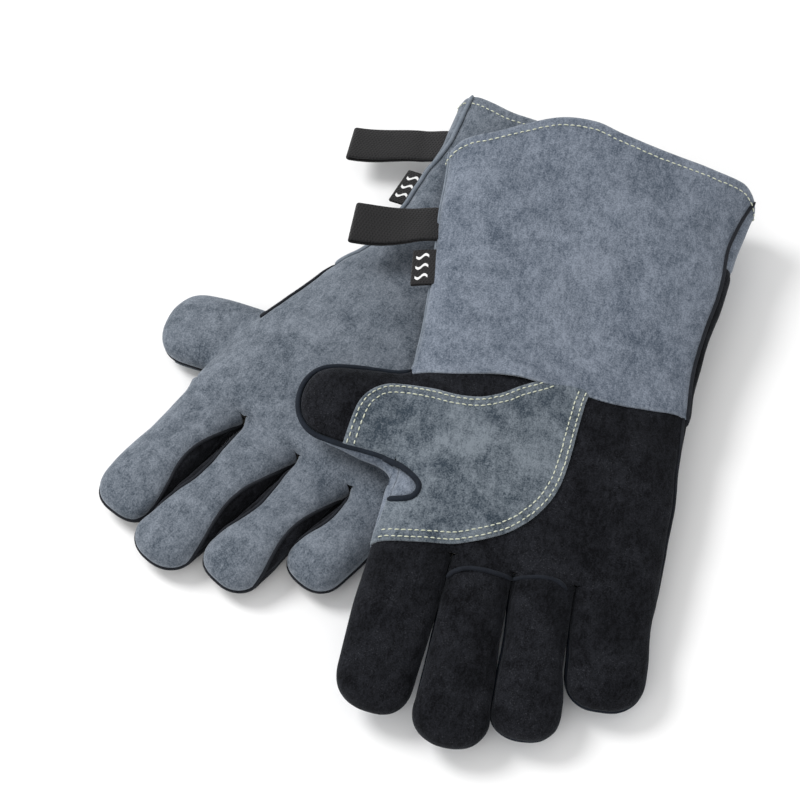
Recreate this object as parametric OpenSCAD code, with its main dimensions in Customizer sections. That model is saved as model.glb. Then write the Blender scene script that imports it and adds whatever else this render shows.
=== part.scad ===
// A pair of lined, gauntlet-length suede gloves at rest on a table. The left glove lies palm down.
// The right glove lies palm up across it. Each glove is drawn in its own frame: u across the
// hand with the thumb at -u, v from the fingers towards the cuff, w up, origin at the wrist seam.

/* [Leather] */
// Thickness of every leather panel
leather = 2; // [1.5:0.1:2.5]
// Thickness of the padded cotton lining
lining = 2; // [1:0.1:3]

/* [Fingers] */
// Width of the index and middle fingers
finger_w = 34; // [30:0.5:34]
// Height of a finger lying flat
finger_h = 24; // [20:0.5:28]
// Length of the middle finger from its crotch
middle_len = 89; // [80:1:95]
// Height of the thumb lying flat
thumb_h = 24; // [20:0.5:26]

/* [Hand and cuff] */
// Length of the hand from wrist seam to finger crotch
hand_len = 98; // [98:1:102]
// Height of the right hand, which lies on top
hand_h = 32; // [28:0.5:34]
// Height of the right cuff
cuff_h = 36; // [30:0.5:40]

/* [Placement] */
// Turn of the left glove on the table
left_yaw = -38; // [-40:1:-36]
// Turn of the right glove on the table
right_yaw = -12; // [-13:1:-11]
// Sideways tilt of the right glove, thumb side up
right_roll = 9.7; // [9:0.1:10.5]
// Lengthwise tilt of the right glove, cuff end up
right_pitch = 2.3; // [2:0.1:3]

/* [Hanging loops] */
// Width of the webbing
web_w = 22; // [18:1:25]
// Length of a loop outside its seam
loop_len = 50; // [40:1:55]

/* [Hidden] */
$fn = 48;

suede_grey = [0.42, 0.46, 0.52];
suede_black = [0.09, 0.09, 0.10];
web_black = [0.05, 0.05, 0.06];
cotton = [0.70, 0.69, 0.66];

// Clearance between bodies that meet at a joint
joint_gap = 0.6;
// Clearance between a leather panel and the lining inside it
ply_gap = 0.2;
// Clearance between the strips that stand between two panels
seam_gap = 0.1;
// Play between a side strip and a sloping roof
roof_play = 0.4;
// How far a cutter reaches past what it cuts, and past the whole glove
cut = 1;
beyond = 200;
// A gap for side strips that have none: it lies past the end of every edge
no_gap = [1000, 1001];

// Plan position of each wrist seam's centre, which puts the origin under the pair's middle
left_at = [-13.2, 44.4];
right_at = [52.2, -9.8];
// Height of the right glove's wrist centre, where the left glove holds it off the table
right_rise = 18.7;

// Edges of a section from the fingers or wrist towards the cuff: thumb side, then little side
left_hand_thumb_side = [[-70, -hand_len], [-67, -41], [-60, -0.3]];
left_hand_little_side = [[69, -hand_len + 6], [71, -50], [68, -0.3]];
right_hand_thumb_side = [[-65.5, -hand_len], [-70, -50], [-69, -0.3]];
right_hand_little_side = [[69, -hand_len + 6], [72, -50], [72, -0.3]];
left_cuff_thumb_side = [[-60, 0.3], [-51, 27], [-58, 87], [-70, 136]];
left_cuff_little_side = [[68, 0.3], [66, 27], [72, 87], [82, 138]];
right_cuff_thumb_side = [[-69, 0.3], [-71, 47], [-76, 104], [-80, 139]];
right_cuff_little_side = [[72, 0.3], [74, 47], [81, 104], [90, 151]];
// Corner where the middle and ring fingers' crotch line turns to the little finger
crotch_corner = [34, -hand_len];

// A section is [thumb side, little side, end points, floor level, roof level at u = 0, roof slope]
left_hand = [left_hand_thumb_side, left_hand_little_side, [], leather, 26.6, 5.3];
left_cuff = [left_cuff_thumb_side, left_cuff_little_side, [[0, 143], [45, 144]], 0, 23.2, 7.4];
right_hand = [right_hand_thumb_side, right_hand_little_side, [], 0, hand_h, 0];
right_cuff = [right_cuff_thumb_side, right_cuff_little_side, [[-30, 152], [40, 158]], 0, cuff_h, 0];

// A finger is [base u, base v, splay angle, width, length, droop]
left_fingers = [
    [-52.5, -hand_len - 2.4, -5, finger_w, middle_len - 8, 0],
    [-17.5, -hand_len - 1.9, -1, finger_w, middle_len, 0],
    [16.5, -hand_len - 1.5, 2, finger_w - 2, middle_len - 12, 0],
    [49.5, -hand_len + 1, 1, finger_w - 7, middle_len - 27, 0]];
right_fingers = [
    [-50.5, -hand_len - 1.5, -1, finger_w - 3, middle_len - 8, 11],
    [-17.5, -hand_len - 1.9, 3, finger_w, middle_len, 6],
    [16.5, -hand_len - 2.8, 6.5, finger_w - 2, middle_len - 12, 3.5],
    [51, -hand_len + 1.8, 9, finger_w - 3, middle_len - 27, -0.5]];
// A thumb is [base u, base v, angle from -v, width, length]
left_thumb = [-76, -62, -72, 40, 40];
right_thumb = [-72, -35, -88, 42, 54];
// The gap in v that a hand's side strip leaves for the thumb
left_thumb_mouth = [left_thumb[1] - left_thumb[3] / 2 - 2, left_thumb[1] + left_thumb[3] / 2 + 2];
right_thumb_mouth = [right_thumb[1] - right_thumb[3] / 2 - 1, right_thumb[1] + right_thumb[3] / 2 + 1];

// Edge of each palm reinforcement at the thumb side, and how far it reaches across the palm
left_patch_u = -58;
right_patch_u = -65;
patch_reach_u = 26;

// Webbing of the hanging loops, the height inside a loop, and the part of it that is sewn shut
web_t = 1.4;
loop_gap = 6;
sewn_root = 6;
// Middle of each loop's root on the cuff's thumb side
left_loop_at = [-67.2, 97, 14];
right_loop_at = [-77, 85, 22];
// Woven labels, each a short folded tab in the same seam, and their lowest corners
label_size = [12, 25, 1.4];
left_label_at = [-70, 54, 16];
right_label_at = [-85.5, 46, 22];

function reversed(list) = [for (i = [len(list) - 1:-1:0]) list[i]];
function inset(edge, d) = [for (p = edge) p + [d, 0]];
function roof_at(s, u) = s[4] - u * tan(s[5]);

module in_left() { translate([left_at[0], left_at[1], 0]) rotate([0, 0, left_yaw]) children(); }

module in_right() {
    translate([right_at[0], right_at[1], right_rise])
    rotate([0, 0, right_yaw])
    rotate([right_pitch, right_roll, 0])
    children();
}

module in_finger(f) {
    translate([f[0], f[1], 0])
    rotate([0, 0, f[2]])
    rotate([f[5], 0, 0])
    children();
}

module in_thumb(t) { translate([t[0], t[1], 0]) rotate([0, 0, t[2]]) children(); }

// Outline of a section, narrowed by d on both sides, with its mouth left in place
module plan(s, d, front) {
    polygon(concat(inset(s[0], d), s[2], reversed(inset(s[1], -d)), front));
}

// A strip standing between two points of an edge, t thick towards side (1 is +u)
module strip(p, q, side, t, low, high) {
    d = q - p;
    translate([p[0], p[1], low])
    rotate([0, 0, atan2(d[1], d[0])])
    translate([seam_gap, side > 0 ? -t : 0, 0])
    cube([norm(d) - 2 * seam_gap, t, high - low]);
}

module floor_sheet(s, d, t, front = []) {
    translate([0, 0, s[3] + d]) linear_extrude(t) plan(s, d, front);
}

module roof_sheet(s, d, t, front = []) {
    translate([0, 0, s[4] - d - t]) rotate([0, s[5], 0]) linear_extrude(t) plan(s, d, front);
}

// Strips along both edges between the floor and the roof, leaving out the listed gap in v
module side_strips(s, d, t, gap = no_gap) {
    for (side = [0, 1]) {
        edge = inset(s[side], side == 0 ? d : -d);
        for (i = [0:len(edge) - 2]) {
            top = min(roof_at(s, edge[i][0]), roof_at(s, edge[i + 1][0])) - d - t - seam_gap - roof_play;
            difference() {
                strip(edge[i], edge[i + 1], side == 0 ? 1 : -1, t, s[3] + d + t + seam_gap, top);
                if (side == 0) translate([-beyond, gap[0], -beyond])
                    cube([2 * beyond, gap[1] - gap[0], 2 * beyond]);
            }
        }
    }
}

// Plan of a finger or thumb along -v: straight sides and a round tip
module stall_plan(w, l, start) {
    translate([-w / 2, -l + w / 2]) square([w, l - w / 2 - start]);
    translate([0, -l + w / 2]) circle(d = w);
}

module stall_panel(w, l, low) { translate([0, 0, low]) linear_extrude(leather) stall_plan(w, l, joint_gap); }

// The walls between a stall's two panels: two straight strips and the strip round the tip
module stall_walls(w, l, h) {
    low = leather + seam_gap;
    tall = h - 2 * low;
    run = l - w / 2 - joint_gap;
    for (side = [-1, 1]) {
        translate([side * (w - leather) / 2 - leather / 2, -l + w / 2 + seam_gap, low])
        cube([leather, run - seam_gap, tall]);
    }
    difference() {
        translate([0, -l + w / 2, low]) cylinder(d = w, h = tall);
        translate([0, -l + w / 2, low - cut]) cylinder(d = w - 2 * leather, h = tall + 2 * cut);
        translate([-w, -l + w / 2, low - cut]) cube([2 * w, w, tall + 2 * cut]);
    }
}

module stall_lining(w, l, h) {
    outer = leather + ply_gap;
    inner = outer + lining;
    difference() {
        translate([0, 0, outer]) linear_extrude(h - 2 * outer)
            stall_plan(w - 2 * outer, l - outer, joint_gap);
        translate([0, 0, inner]) linear_extrude(h - 2 * inner)
            stall_plan(w - 2 * inner, l - inner, -cut);
    }
}

// Fingers. On the left glove the back is on top, on the right glove the front is on top.
module finger_bottom(f) { in_finger(f) stall_panel(f[3], f[4], 0); }
module finger_top(f) { in_finger(f) stall_panel(f[3], f[4], finger_h - leather); }
module finger_walls(f) { in_finger(f) stall_walls(f[3], f[4], finger_h); }
module finger_lining(f) { in_finger(f) stall_lining(f[3], f[4], finger_h); }

module left_finger_back(f) { color(suede_grey) in_left() finger_top(f); }
module left_finger_front(f) { color(suede_black) in_left() finger_bottom(f); }
module left_finger_fourchettes(f) { color(suede_black) in_left() finger_walls(f); }
module left_finger_lining(f) { color(cotton) in_left() finger_lining(f); }
module right_finger_back(f) { color(suede_grey) in_right() finger_bottom(f); }
module right_finger_front(f) { color(suede_black) in_right() finger_top(f); }
module right_finger_fourchettes(f) { color(suede_black) in_right() finger_walls(f); }
module right_finger_lining(f) { color(cotton) in_right() finger_lining(f); }

// Thumbs. The back panel carries the walls round the thumb.
module left_thumb_back() {
    color(suede_grey) in_left() in_thumb(left_thumb) {
        stall_panel(left_thumb[3], left_thumb[4], thumb_h - leather);
        stall_walls(left_thumb[3], left_thumb[4], thumb_h);
    }
}

module left_thumb_front() {
    color(suede_black) in_left() in_thumb(left_thumb) stall_panel(left_thumb[3], left_thumb[4], 0);
}

module left_thumb_lining() {
    color(cotton) in_left() in_thumb(left_thumb) stall_lining(left_thumb[3], left_thumb[4], thumb_h);
}

module right_thumb_back() {
    color(suede_grey) in_right() in_thumb(right_thumb) {
        stall_panel(right_thumb[3], right_thumb[4], 0);
        stall_walls(right_thumb[3], right_thumb[4], thumb_h);
    }
}

module right_thumb_front() {
    color(suede_black) in_right() in_thumb(right_thumb)
        stall_panel(right_thumb[3], right_thumb[4], thumb_h - leather);
}

module right_thumb_lining() {
    color(cotton) in_right() in_thumb(right_thumb) stall_lining(right_thumb[3], right_thumb[4], thumb_h);
}

// Hands. The thumb stall opens into the gap left in the side strip.
module hand_roof(s) { roof_sheet(s, 0, leather, [crotch_corner]); }
module hand_floor(s) { floor_sheet(s, 0, leather, [crotch_corner]); }

module left_hand_back() { color(suede_grey) in_left() hand_roof(left_hand); }
module left_hand_palm() { color(suede_black) in_left() hand_floor(left_hand); }
module left_hand_sides() {
    color(suede_black) in_left() side_strips(left_hand, 0, leather, left_thumb_mouth);
}

module right_hand_back() { color(suede_grey) in_right() hand_floor(right_hand); }
module right_hand_palm() { color(suede_black) in_right() hand_roof(right_hand); }
module right_hand_sides() {
    color(suede_black) in_right() side_strips(right_hand, 0, leather, right_thumb_mouth);
}

// Reinforcement sewn on the palm at the root of the thumb, cut to a swept curve
module patch_plan(edge_u) {
    intersection() {
        translate([edge_u, -hand_len + 1]) square([patch_reach_u - edge_u, hand_len - 2]);
        translate([edge_u, 0]) circle(r = hand_len - 2);
    }
}

module left_palm_patch() { color(suede_grey) in_left() linear_extrude(leather) patch_plan(left_patch_u); }

module right_palm_patch() {
    color(suede_grey) in_right() translate([0, 0, hand_h]) linear_extrude(leather) patch_plan(right_patch_u);
}

// Cuffs
module left_cuff_back() { color(suede_grey) in_left() roof_sheet(left_cuff, 0, leather); }
module left_cuff_front() { color(suede_grey) in_left() floor_sheet(left_cuff, 0, leather); }
module left_cuff_gussets() { color(suede_black) in_left() side_strips(left_cuff, 0, leather); }
module right_cuff_back() { color(suede_grey) in_right() floor_sheet(right_cuff, 0, leather); }
module right_cuff_front() { color(suede_grey) in_right() roof_sheet(right_cuff, 0, leather); }
module right_cuff_gussets() { color(suede_black) in_right() side_strips(right_cuff, 0, leather); }

// Lining of a section: a sleeve just inside its leather
module sleeve(s, front, gap) {
    floor_sheet(s, leather + ply_gap, lining, front);
    roof_sheet(s, leather + ply_gap, lining, front);
    side_strips(s, leather + ply_gap, lining, gap);
}

module left_lining() {
    color(cotton) in_left() {
        sleeve(left_hand, [crotch_corner], left_thumb_mouth);
        sleeve(left_cuff, [], no_gap);
    }
}

module right_hand_lining() {
    color(cotton) in_right() sleeve(right_hand, [crotch_corner], right_thumb_mouth);
}

module right_cuff_lining() { color(cotton) in_right() sleeve(right_cuff, [], no_gap); }

// Hanging loops: webbing folded back on itself and sewn into the cuff's thumb-side seam.
// Side view of a loop that runs from its round outer end to a root short of the seam.
module loop_side(r, outer, root) {
    translate([-outer + r, -r]) square([outer - r - root, 2 * r]);
    translate([-outer + r, 0]) circle(r = r);
}

module webbing_loop() {
    color(web_black) rotate([90, 0, 0]) translate([0, 0, -web_w / 2]) linear_extrude(web_w) difference() {
        loop_side(loop_gap / 2 + web_t, loop_len, 0);
        loop_side(loop_gap / 2, loop_len - web_t, sewn_root);
    }
}

// Turns back the right glove's tilt, so that what is placed next lies level
module level_in_right() { rotate([-right_pitch, 0, 0]) rotate([0, -right_roll, 0]) children(); }

module left_loop() { in_left() translate(left_loop_at) rotate([0, 0, -left_yaw]) webbing_loop(); }

module right_loop() {
    in_right() translate(right_loop_at) level_in_right() rotate([0, 0, -right_yaw]) webbing_loop();
}

module left_label() { color(web_black) in_left() translate(left_label_at) cube(label_size); }
module right_label() { color(web_black) in_right() translate(right_label_at) cube(label_size); }

left_hand_back();
left_hand_palm();
left_hand_sides();
left_palm_patch();
left_cuff_back();
left_cuff_front();
left_cuff_gussets();
left_lining();
left_finger_back(left_fingers[0]);  // left_index_back
left_finger_front(left_fingers[0]);  // left_index_front
left_finger_fourchettes(left_fingers[0]);  // left_index_fourchettes
left_finger_lining(left_fingers[0]);  // left_index_lining
left_finger_back(left_fingers[1]);  // left_middle_back
left_finger_front(left_fingers[1]);  // left_middle_front
left_finger_fourchettes(left_fingers[1]);  // left_middle_fourchettes
left_finger_lining(left_fingers[1]);  // left_middle_lining
left_finger_back(left_fingers[2]);  // left_ring_back
left_finger_front(left_fingers[2]);  // left_ring_front
left_finger_fourchettes(left_fingers[2]);  // left_ring_fourchettes
left_finger_lining(left_fingers[2]);  // left_ring_lining
left_finger_back(left_fingers[3]);  // left_little_back
left_finger_front(left_fingers[3]);  // left_little_front
left_finger_fourchettes(left_fingers[3]);  // left_little_fourchettes
left_finger_lining(left_fingers[3]);  // left_little_lining
left_thumb_back();
left_thumb_front();
left_thumb_lining();
left_loop();
left_label();
right_hand_back();
right_hand_palm();
right_hand_sides();
right_palm_patch();
right_hand_lining();
right_cuff_back();
right_cuff_front();
right_cuff_gussets();
right_cuff_lining();
right_finger_back(right_fingers[0]);  // right_index_back
right_finger_front(right_fingers[0]);  // right_index_front
right_finger_fourchettes(right_fingers[0]);  // right_index_fourchettes
right_finger_lining(right_fingers[0]);  // right_index_lining
right_finger_back(right_fingers[1]);  // right_middle_back
right_finger_front(right_fingers[1]);  // right_middle_front
right_finger_fourchettes(right_fingers[1]);  // right_middle_fourchettes
right_finger_lining(right_fingers[1]);  // right_middle_lining
right_finger_back(right_fingers[2]);  // right_ring_back
right_finger_front(right_fingers[2]);  // right_ring_front
right_finger_fourchettes(right_fingers[2]);  // right_ring_fourchettes
right_finger_lining(right_fingers[2]);  // right_ring_lining
right_finger_back(right_fingers[3]);  // right_little_back
right_finger_front(right_fingers[3]);  // right_little_front
right_finger_fourchettes(right_fingers[3]);  // right_little_fourchettes
right_finger_lining(right_fingers[3]);  // right_little_lining
right_thumb_back();
right_thumb_front();
right_thumb_lining();
right_loop();
right_label();
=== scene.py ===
"""A pair of lined suede gauntlet gloves, lying crossed on a pale floor.

Each glove is made in its own flat frame, in millimetres: u across the hand with the thumb at -u,
v from the fingers towards the cuff, w up, with the origin at the wrist seam. Leather panels are cut
out of one skin along their seams, given a thickness, and then placed where the CAD model has them.
"""

import math
from collections import namedtuple

import bpy
import numpy as np
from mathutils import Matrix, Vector
from mathutils.kdtree import KDTree


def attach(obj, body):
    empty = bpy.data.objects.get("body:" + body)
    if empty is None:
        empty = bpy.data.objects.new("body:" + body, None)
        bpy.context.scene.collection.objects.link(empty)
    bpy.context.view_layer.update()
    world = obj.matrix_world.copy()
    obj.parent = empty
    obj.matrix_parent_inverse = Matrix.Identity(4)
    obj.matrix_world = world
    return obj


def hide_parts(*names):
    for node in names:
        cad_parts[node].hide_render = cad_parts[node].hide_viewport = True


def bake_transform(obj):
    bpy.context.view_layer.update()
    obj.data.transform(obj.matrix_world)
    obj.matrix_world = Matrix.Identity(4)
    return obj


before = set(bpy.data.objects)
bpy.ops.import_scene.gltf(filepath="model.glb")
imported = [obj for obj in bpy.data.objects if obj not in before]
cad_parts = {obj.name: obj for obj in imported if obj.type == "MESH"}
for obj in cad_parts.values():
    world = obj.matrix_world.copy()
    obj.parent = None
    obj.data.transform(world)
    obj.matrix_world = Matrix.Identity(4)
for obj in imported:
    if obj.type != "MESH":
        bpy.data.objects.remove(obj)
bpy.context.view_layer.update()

MM = 0.001
AT_JOIN = 0.99          # a row's last value is above this on a cut between bodies
FAR_FROM_EDGE = 12.0    # the edge attribute away from a panel's edges
BEND_RUN = 22           # length over which a drooping stall bends
FLOOR_GAP = 0.05        # the left glove's lowest point above the floor

# ------------------------------------------------------------------ camera
CAMERA_RISE = math.radians(60)
CAMERA_AWAY = 1.5
CAMERA_TARGET = Vector((-0.0231, -0.0014, 0.020))

camera_data = bpy.data.cameras.new("camera")
camera = bpy.data.objects.new("camera", camera_data)
bpy.context.scene.collection.objects.link(camera)
camera_data.lens = 128.25
camera_data.sensor_width = 36
toward_camera = Vector((0, -math.cos(CAMERA_RISE), math.sin(CAMERA_RISE)))
camera.location = CAMERA_TARGET + toward_camera * CAMERA_AWAY
camera.rotation_euler = (-toward_camera).to_track_quat("-Z", "Y").to_euler()
bpy.context.scene.camera = camera


# ------------------------------------------------------------------ small maths
def turn(axis, degrees):
    c, s = math.cos(math.radians(degrees)), math.sin(math.radians(degrees))
    i, j = [(1, 2), (2, 0), (0, 1)]["xyz".index(axis)]
    m = np.eye(3)
    m[i, i] = m[j, j] = c
    m[i, j], m[j, i] = -s, s
    return m


def smoothstep(x, low, high):
    t = np.clip((x - low) / (high - low), 0, 1)
    return t * t * (3 - 2 * t)


def smooth_min(a, b, k):
    h = np.clip(0.5 + 0.5 * (b - a) / k, 0, 1)
    return b + (a - b) * h - k * h * (1 - h)


def smooth_max(a, b, k):
    return -smooth_min(-a, -b, k)


def unit(v):
    """Rows scaled to a length of 1."""
    return v / np.maximum(np.linalg.norm(v, axis=1), 1e-9)[:, None]


def curve_at(x, points):
    """A smooth curve through (x, y) points."""
    xs, ys = np.array(points, float).T
    slope = np.diff(ys) / np.diff(xs)
    tangent = np.concatenate([[slope[0]], (slope[1:] + slope[:-1]) / 2, [slope[-1]]])
    tangent[1:-1][slope[1:] * slope[:-1] <= 0] = 0
    x = np.clip(x, xs[0], xs[-1])
    i = np.clip(np.searchsorted(xs, x) - 1, 0, len(xs) - 2)
    step = xs[i + 1] - xs[i]
    t = (x - xs[i]) / step
    return ((1 + 2 * t) * (1 - t) ** 2 * ys[i] + t * (1 - t) ** 2 * step * tangent[i]
            + t * t * (3 - 2 * t) * ys[i + 1] + t * t * (t - 1) * step * tangent[i + 1])


def rounded_line(points, closed=False, steps=8):
    """Catmull-Rom curve through points, as a dense polyline."""
    p = np.array(points, float)
    n = len(p)
    t = np.linspace(0, 1, steps, endpoint=False)[:, None]
    out = []
    for i in range(n if closed else n - 1):
        near = [i - 1, i, i + 1, i + 2]
        a, b, c, d = (p[k % n] if closed else p[min(max(k, 0), n - 1)] for k in near)
        out.append(0.5 * (2 * b + (c - a) * t + (2 * a - 5 * b + 4 * c - d) * t ** 2
                          + (3 * b - a - 3 * c + d) * t ** 3))
    if not closed:
        out.append(p[-1:])
    return np.concatenate(out)


def plan_distance(points, line, closed=True):
    """Distance in plan from points to a polyline, negative inside it when it is closed."""
    ends = np.roll(line, -1, axis=0)
    pairs = list(zip(line, ends)) if closed else list(zip(line[:-1], ends[:-1]))
    best = np.full(len(points), 1e9)
    inside = np.zeros(len(points), bool)
    x, y = points[:, 0], points[:, 1]
    for p, q in pairs:
        d = q - p
        t = np.clip(((x - p[0]) * d[0] + (y - p[1]) * d[1]) / max(d @ d, 1e-9), 0, 1)
        best = np.minimum(best, np.hypot(x - p[0] - t * d[0], y - p[1] - t * d[1]))
        if closed and p[1] != q[1]:
            crosses = (p[1] > y) != (q[1] > y)
            inside ^= crosses & (x < p[0] + (y - p[1]) * d[0] / d[1])
    return np.where(inside, -best, best)


def wave_noise(points, size, seed):
    """Smooth random field between about -1 and 1, with features of the given size."""
    rng = np.random.default_rng(seed)
    total = np.zeros(len(points))
    for _ in range(14):
        direction = rng.normal(size=3)
        direction *= rng.uniform(0.6, 1.4) * 2 * math.pi / size / np.linalg.norm(direction)
        total += np.sin(points @ direction + rng.uniform(0, 2 * math.pi))
    return total / 4.5


# ------------------------------------------------------------------ the gloves' shapes
STALL_H = 24.0          # height of a finger or thumb
STALL_POWER = 2.35      # squareness of a stall's section
STALL_ROOT = 22         # how far a stall's shape runs on into the hand
FINGERS = ("index", "middle", "ring", "little")

# A stall is a finger or thumb: where its base is, its angle from -v, half its width, its length, how many
# degrees it droops, and how much wider each half is at its base. A joint is a stall's base; only the thumb's is
# read, to cut the thumb from the hand.
Stall = namedtuple("Stall", "u v angle half length droop flare", defaults=(0, 0, 0, 0))

GLOVES = {
    "left": {
        "turn": turn("z", -38), "at": np.array([-13.2, 44.4, 0.0]),
        "stalls": {
            "index": [-56.5, -100.4, -1.5, 17.8, 82, 0, 0], "middle": [-18.6, -99.9, -5.5, 18.0, 92.5, 0, 0],
            "ring": [16.0, -99.5, -5, 17.2, 82, 0, 0], "little": [49.5, -96.5, -7, 16.4, 59.5, 0, 0],
            "thumb": [-46, -56.0, -73, 20.6, 69, 0, 3]},
        "joints": {"index": [-52.5, -100.4, -5], "middle": [-17.5, -99.9, -1], "ring": [16.5, -99.5, 2],
                   "little": [49.5, -97, 1], "thumb": [-76, -62, -72]},
        "thumb_edge": [(-112, -74), (-90, -73), (-41, -67.5), (-21, -64), (6, -57.5), (27, -51.5), (60, -54),
                       (87, -58), (105, -62), (136, -70), (150, -74)],
        "little_edge": [(-112, 69), (-90, 71), (-60, 72.5), (0, 70), (27, 66), (87, 73), (138, 82), (150, 84)],
        "mouth": [(-76, 122), (-68, 127), (-58, 129.5), (-40, 129.5), (-20, 133), (0, 138), (45, 144),
                  (84, 138)],
        "wrist": [(-70, 2), (0, 2), (70, 2)],
    },
    "right": {
        "turn": turn("z", -12) @ turn("y", 9.7) @ turn("x", 2.3), "at": np.array([52.2, -9.8, 18.7]),
        "stalls": {
            "index": [-50.5, -99.5, -2.3, 20.2, 84, 11, 2], "middle": [-16.6, -99.9, 2.4, 19.5, 93.5, 6, -0.6],
            "ring": [16.6, -100.8, 5.0, 17.9, 81, 3.5, -0.3], "little": [52.4, -96.2, 5.6, 21.0, 62, -0.5, 1.8],
            "thumb": [-46, -34.3, -92.4, 19.6, 79.5, 0, 9.5]},
        "joints": {"index": [-50.5, -99.5, -1], "middle": [-17.5, -99.9, 3], "ring": [16.5, -100.8, 6.5],
                   "little": [51, -96.2, 9], "thumb": [-72, -35, -88]},
        "thumb_edge": [(-112, -70.5), (-90, -70), (-60, -70), (0, -71.5), (20, -73), (47, -75), (79, -78),
                       (104, -80.5), (127, -82.5), (160, -84)],
        "little_edge": [(-112, 70), (-90, 72), (-75, 73.5), (-60, 74.5), (0, 73), (20, 72.5), (40, 74),
                        (60, 76), (86, 79.5), (116, 83), (140, 87), (165, 89)],
        "mouth": [(-84, 124), (-79, 130), (-72, 134), (-62, 137.5), (-48, 144), (-30, 151.5), (-12, 153.5),
                  (5, 150.5), (30, 148), (58, 148), (74, 148.5), (83, 145), (88, 139)],
        "wrist": [(-74, -8), (-69, -7), (-55, -5.5), (-30, 0), (-1, 1), (23, 0.6), (49, 4), (68, 8), (76, 9)],
    },
}
LEFT, RIGHT = GLOVES["left"], GLOVES["right"]
for side, glove in GLOVES.items():
    glove["name"] = side
    for key in ("stalls", "joints"):
        glove[key] = {name: Stall(*row) for name, row in glove[key].items()}

# Plan outline of the right glove, which the left glove lies under
OVERHANG = rounded_line([
    (-81, 139), (-71, 47), (-71, -6), (-84, -13), (-112, -12), (-125, -28), (-117, -47), (-95, -58), (-72, -64),
    (-71, -107), (-75, -163), (-64, -180), (-36, -175), (-8, -193), (25, -181), (60, -158), (76, -146),
    (75, -100), (73, -20), (75, 50), (84, 116), (91, 151), (45, 154), (0, 152), (-52, 142)], closed=True, steps=3)


def to_world(glove, p):
    return (p @ glove["turn"].T + glove["at"]) * MM


def on_floor(glove, p):
    """World places of a glove's points. What the left glove would have below the floor lies flat on it."""
    world = to_world(glove, p)
    if glove is LEFT:
        world[:, 2] = np.maximum(world[:, 2], FLOOR_GAP * MM)
    return world


def under_right(p):
    """Height, in the left glove's frame, of the right glove's underside, rising steeply outside its outline."""
    flat = np.column_stack([p[:, 0], p[:, 1], np.zeros(len(p))])
    world = flat @ LEFT["turn"].T + LEFT["at"]
    local = (world - RIGHT["at"]) @ RIGHT["turn"]
    normal = RIGHT["turn"][:, 2]
    height = -local[:, 2] / normal[2]
    local = local + np.outer(height * normal[2], [0, 0, 1])
    out = np.maximum(plan_distance(local, OVERHANG) + 6, 0)
    return height + 0.9 * out


def left_roof(p):
    u, v = p[:, 0], p[:, 1]
    crown = curve_at(v, [(-112, 26), (-96, 30), (-60, 34), (-20, 33), (30, 31), (80, 34), (110, 39), (140, 44)])
    own = crown - u * curve_at(v, [(-112, 0.02), (-60, 0.05), (30, 0.07), (140, 0.10)])
    return smooth_min(own, np.maximum(under_right(p) - 1.2, 9), 5)


def left_floor(p):
    return 0.9 + 2.2 * (1 - smoothstep(p[:, 1], 0, 25))


def right_roof(p):
    return curve_at(p[:, 1], [(-112, 25), (-98, 26.5), (-70, 30.5), (-30, 32.5), (0, 31), (25, 32.5), (60, 35),
                              (100, 40), (155, 50)])


def right_floor(p):
    return np.zeros(len(p))


LEFT["roof"], LEFT["floor"] = left_roof, left_floor
RIGHT["roof"], RIGHT["floor"] = right_roof, right_floor


def rounded_form(shares, power):
    """Distance from a superellipsoid. Each share is (distance as a share of the half size, half size)."""
    shares = [(np.abs(s), h) for s, h in shares]
    r = np.maximum(sum(s ** power for s, _ in shares), 1e-9) ** (1 / power)
    slope = r ** (1 - power) * np.sqrt(sum((s ** (power - 1) / h) ** 2 for s, h in shares))
    return (r - 1) / np.maximum(slope, 0.02)


def stall_frame(p, stall):
    """Place across and along a stall, from its base towards its tip."""
    a = math.radians(stall.angle)
    du, dv = p[:, 0] - stall.u, p[:, 1] - stall.v
    return du * math.cos(a) + dv * math.sin(a), du * math.sin(a) - dv * math.cos(a)


def stall_size(y, stall, thin=1.0):
    """Half width, half height and tip length of a stall at y along it."""
    length = stall.length
    a = stall.half * (0.955 + 0.05 * smoothstep(y, 0.25 * length, 0.8 * length))
    a = a + stall.flare * (1 - smoothstep(y, 10, length))
    b = STALL_H / 2 * thin * (1.02 - 0.14 * smoothstep(y, 0.55 * length, length))
    return a, b, 0.92 * stall.half


def stall_shares(p, stall, thin=1.0):
    """Place across, beyond the ends and up a stall as shares of its half sizes, those sizes, and y along it."""
    x, y = stall_frame(p, stall)
    a, b, tip = stall_size(y, stall, thin)
    beyond = (np.maximum(y - (stall.length - tip), 0) + np.maximum(-STALL_ROOT - y, 0)) / tip
    below = 0.3 if thin == 1.0 else 1.9
    return x / a, beyond, (p[:, 2] - b - below) / b, a, b, tip, y


def stall_field(p, stall, thin=1.0):
    """Distance from the shape of one stall by itself."""
    x, beyond, z, a, b, tip, _ = stall_shares(p, stall, thin)
    return rounded_form([(x, a), (beyond, tip), (z, b)], STALL_POWER)


def section_shares(p, glove):
    """Place across the hand or cuff and up it, as shares of its half sizes, and those half sizes."""
    u, v, w = p.T
    left, right = curve_at(v, glove["thumb_edge"]), curve_at(v, glove["little_edge"])
    low, high = glove["floor"](p), glove["roof"](p)
    half, tall = (right - left) / 2, (high - low) / 2
    return (u - (left + right) / 2) / half, (w - (low + high) / 2) / tall, half, tall


def section_field(p, glove):
    x, z, half, tall = section_shares(p, glove)
    body = rounded_form([(x, half), (z, tall)], 2.5 - 0.5 * smoothstep(p[:, 1], 60, 140))
    return smooth_max(body, -101 - p[:, 1], 7)


def thin_of(glove, name):
    """How much thinner a stall is than the others."""
    return 0.86 if name == "thumb" and glove is LEFT else 1.0


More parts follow.
